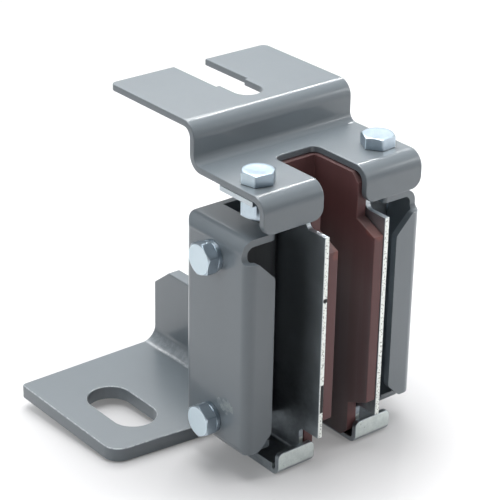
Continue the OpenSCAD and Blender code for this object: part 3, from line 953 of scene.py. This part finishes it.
def weldRing(z, along, side, leg):
    # one slice of a bead: its steps away from the base's side and from the body's back
    shape = weldShape
    alongPower, acrossPower = shape["ripplePowers"]
    ends = math.sqrt(min(1.0, shape["endParts"] * along, shape["endParts"] * (1 - along)))
    wander = sum(size * math.sin(z / mm * turn + shift * side) for size, turn, shift in shape["wander"])
    reach = (leg + wander) * (shape["endShare"] + (1 - shape["endShare"]) * ends)
    ring = [(shape["off"], shape["off"])]
    for i in range(shape["across"] + 1):
        share = i / shape["across"]
        arch = math.sin(math.pi * share)
        phase = (z + shape["bow"] * (1 - (2 * share - 1) ** 2)) / shape["ripple"] % 1.0
        crest = (1 - phase) ** alongPower * arch ** acrossPower
        lift = (shape["fullness"] * ends - shape["hollow"]) * arch + shape["rippleHeight"] * crest
        outward = lift * math.sqrt(0.5)
        steps = (reach * (1 - share) + outward, reach * share + outward)
        ring.append([max(shape["off"], step) for step in steps])
    return ring


def weldBeads():
    low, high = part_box("weld_beads")
    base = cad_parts["base_bracket"]
    across = [v.co.x for v in base.data.vertices if v.co.z > high.z - weldShape["topBand"]]
    steps = int((high.z - low.z) / weldShape["step"])
    mesh = bmesh.new()
    for edgeX, side in ((max(across), 1), (min(across), -1)):
        rings = []
        for k in range(steps + 1):
            z = low.z + (high.z - low.z) * k / steps
            ring = weldRing(z, k / steps, side, high.y - low.y)
            rings.append([mesh.verts.new((edgeX + side * x, low.y + y, z)) for x, y in ring])
        joinRings(mesh, rings)
        mesh.faces.new(rings[0])
        mesh.faces.new(rings[-1])
    finishPiece("weld_beads_rippled", mesh, "weld", weldShape["sharpAngle"], "weld_beads")


weldBeads()


rubberShape = {
    "corner": 4.6 * mm,
    "cornerMost": 0.45,    # of a block's shortest side
    "steps": 4,
    "cells": 18,
    "bulge": 0.7 * mm,
    "rimDrop": 0.6,        # of the bulge, at the rim of the end faces
    "mould": 0.25 * mm,    # height of the line where the mould's halves met
    "mouldHalf": 0.5 * mm,
    "mouldFade": 0.2,
    "onFace": 0.999,
    "sharpAngle": 60.0,
}


def blockLines(low, high, corner):
    steps = rubberShape["steps"]
    cells = rubberShape["cells"]
    bends = [corner * (1 - math.cos(math.pi / 2 * i / steps)) for i in range(steps)]
    lines = [low + bend for bend in bends]
    lines += [low + corner + (high - low - 2 * corner) * i / cells for i in range(cells + 1)]
    lines += [high - bend for bend in reversed(bends)]
    return lines


def roundedPoint(point, low, high, corner):
    inner = Vector([min(max(p, a + corner), b - corner) for p, a, b in zip(point, low, high)])
    out = Vector(point) - inner
    return inner + out.normalized() * corner if out.length > 0 else inner


def rubberBlock(name, node, freeFront):
    low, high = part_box(node)
    corner = min(rubberShape["corner"], min(high - low) * rubberShape["cornerMost"])
    lines = [blockLines(a, b, corner) for a, b in zip(low, high)]
    centre, half = (low + high) / 2, (high - low) / 2
    mesh = bmesh.new()
    found = {}

    def vertexAt(indices):
        if indices not in found:
            raw = [lines[axis][i] for axis, i in enumerate(indices)]
            point = roundedPoint(raw, low, high, corner)
            u, v, w = [(p - c) / h for p, c, h in zip(raw, centre, half)]
            if abs(w) > rubberShape["onFace"]:
                crown = (1 - u * u) * (1 - v * v) - rubberShape["rimDrop"]
                point.z += math.copysign(rubberShape["bulge"], w) * crown
            if v < -rubberShape["onFace"] and freeFront:
                ridge = max(0.0, 1 - abs(raw[0] - centre.x) / rubberShape["mouldHalf"])
                fade = max(0.0, 1 - w * w) ** rubberShape["mouldFade"]
                point.y -= rubberShape["mould"] * ridge * fade
            found[indices] = mesh.verts.new(point)
        return found[indices]

    for axis in range(3):
        first, second = [a for a in range(3) if a != axis]
        for end in (0, len(lines[axis]) - 1):
            for i in range(len(lines[first]) - 1):
                for j in range(len(lines[second]) - 1):
                    corners = []
                    for di, dj in ((0, 0), (1, 0), (1, 1), (0, 1)):
                        indices = [0, 0, 0]
                        indices[axis], indices[first], indices[second] = end, i + di, j + dj
                        corners.append(vertexAt(tuple(indices)))
                    mesh.faces.new(corners)
    finishPiece(name, mesh, "rubber", rubberShape["sharpAngle"], node)


rubberBlock("rubber_cushion_left", "cushion_left", True)
rubberBlock("rubber_cushion_right", "cushion_right", True)
rubberBlock("rubber_back_pad", "back_pad", False)


# stage, light and camera

stageLook = {
    "frontFoot": (-26.7 * mm, 2.5 * mm),   # y and z where the feet stand
    "baseEdge": (14.85 * mm, 0.0),         # y and z of the base's front edge
    "gap": 0.05 * mm,
    "reach": 6.0,
    "colour": (0.49, 0.486, 0.49, 1.0),
    "centre": (-5.0 * mm, 20.0 * mm, 0.0),
    "glowColour": (1.0, 1.0, 1.0, 1.0),
    "glow": (0.15, 0.45),                  # beside the object, and out on the sweep; the weaker glow beside the object paints shade round it
    "glowReach": (0.055, 0.14),
}


def floorFinish():
    material = bpy.data.materials.new("studio floor")
    material.use_nodes = True
    tree = material.node_tree
    tree.nodes.clear()
    matt = addNode(tree, "ShaderNodeBsdfDiffuse", {"Color": stageLook["colour"]})
    path = tree.nodes.new("ShaderNodeLightPath").outputs
    seen = combine(tree, "MAXIMUM", path["Is Glossy Ray"], path["Is Transmission Ray"])
    seen = combine(tree, "MAXIMUM", path["Is Camera Ray"], seen)
    where = tree.nodes.new("ShaderNodeTexCoord").outputs["Object"]
    # the glow drops beside the object, painting shade round it
    distance = vectorStep(tree, "DISTANCE", where, stageLook["centre"], "Value")
    strength = times(tree, seen, remap(tree, distance, *stageLook["glowReach"], *stageLook["glow"]))
    glow = addNode(tree, "ShaderNodeEmission", {"Color": stageLook["glowColour"], "Strength": strength})
    both = addNode(tree, "ShaderNodeAddShader", {0: matt.outputs[0], 1: glow.outputs[0]})
    tree.links.new(both.outputs[0], tree.nodes.new("ShaderNodeOutputMaterial").inputs["Surface"])
    return material


def makeFloor():
    (nearY, nearZ), (farY, farZ) = stageLook["frontFoot"], stageLook["baseEdge"]
    slope = (farZ - nearZ) / (farY - nearY)
    reach = stageLook["reach"]
    mesh = bmesh.new()
    corners = []
    for x, y in ((-reach, -reach), (reach, -reach), (reach, reach), (-reach, reach)):
        corners.append(mesh.verts.new((x, y, nearZ + (y - nearY) * slope - stageLook["gap"])))
    mesh.faces.new(corners)
    data = bpy.data.meshes.new("floor")
    mesh.to_mesh(data)
    mesh.free()
    data.materials.append(floorFinish())
    floor = bpy.data.objects.new("floor", data)
    scene.collection.objects.link(floor)


worldLook = {
    "light": (0.95, 0.975, 1.0, 1.0),
    "towards": (0.35, 0.55, 0.76),   # the bright side of the room
    "turn": (-0.3, 0.9),             # where the dim side ends, and where it is brightest
    "strength": (0.04, 0.63),
}


def makeWorld():
    world = bpy.data.worlds.new("studio")
    scene.world = world
    world.use_nodes = True
    tree = world.node_tree
    tree.nodes.clear()
    where = tree.nodes.new("ShaderNodeTexCoord").outputs["Generated"]
    agreement = vectorStep(tree, "DOT_PRODUCT", where, worldLook["towards"], "Value")
    strength = remap(tree, agreement, *worldLook["turn"], *worldLook["strength"])
    soft = addNode(tree, "ShaderNodeBackground", {"Color": worldLook["light"], "Strength": strength})
    tree.links.new(soft.outputs[0], tree.nodes.new("ShaderNodeOutputWorld").inputs["Surface"])


white = (1.0, 1.0, 1.0)
coolWhite = (0.90, 0.96, 1.0)
lampLook = {
    "overhead": {"at": (0.00, 0.10, 0.90), "size": (0.60, 0.60), "watts": 7.0, "tint": white},
    "back": {"at": (0.25, 0.60, 0.75), "size": (0.50, 0.50), "watts": 3.3, "tint": white},
    "back strip": {"at": (0.62, 0.52, 0.80), "size": (0.025, 0.30), "watts": 1.5, "tint": white},
    "left": {"at": (-0.80, 0.15, 0.45), "size": (0.40, 0.40), "watts": 1.42, "tint": coolWhite},
    "right": {"at": (0.44, -0.20, 0.25), "size": (0.30, 0.30), "watts": 1.35, "tint": white},
}
lampAim = (0.0, 0.0, 0.08)


def makeLamps():
    for name, look in lampLook.items():
        data = bpy.data.lights.new(name, "AREA")
        data.shape = "RECTANGLE"
        data.size, data.size_y = look["size"]
        data.energy = look["watts"]
        data.color = look["tint"]
        lamp = bpy.data.objects.new(name, data)
        scene.collection.objects.link(lamp)
        lamp.location = look["at"]
        lamp.rotation_euler = (Vector(lampAim) - Vector(look["at"])).to_track_quat("-Z", "Y").to_euler()


cameraLook = {
    "at": (-0.45624, -0.53086, 0.42292),
    "turn": (64.3342, -1.0141, -38.6662),   # degrees about X, Y and Z
    "lens": 133.0,
    "sensor": 36.0,
    "clipStart": 0.01,
}


def makeCamera():
    data = bpy.data.cameras.new("camera")
    data.lens = cameraLook["lens"]
    data.sensor_width = cameraLook["sensor"]
    data.clip_start = cameraLook["clipStart"]
    camera = bpy.data.objects.new("camera", data)
    scene.collection.objects.link(camera)
    camera.location = cameraLook["at"]
    camera.rotation_euler = [math.radians(angle) for angle in cameraLook["turn"]]
    scene.camera = camera


makeFloor()
makeWorld()
makeLamps()
makeCamera()
print("stage, lamps and camera set")
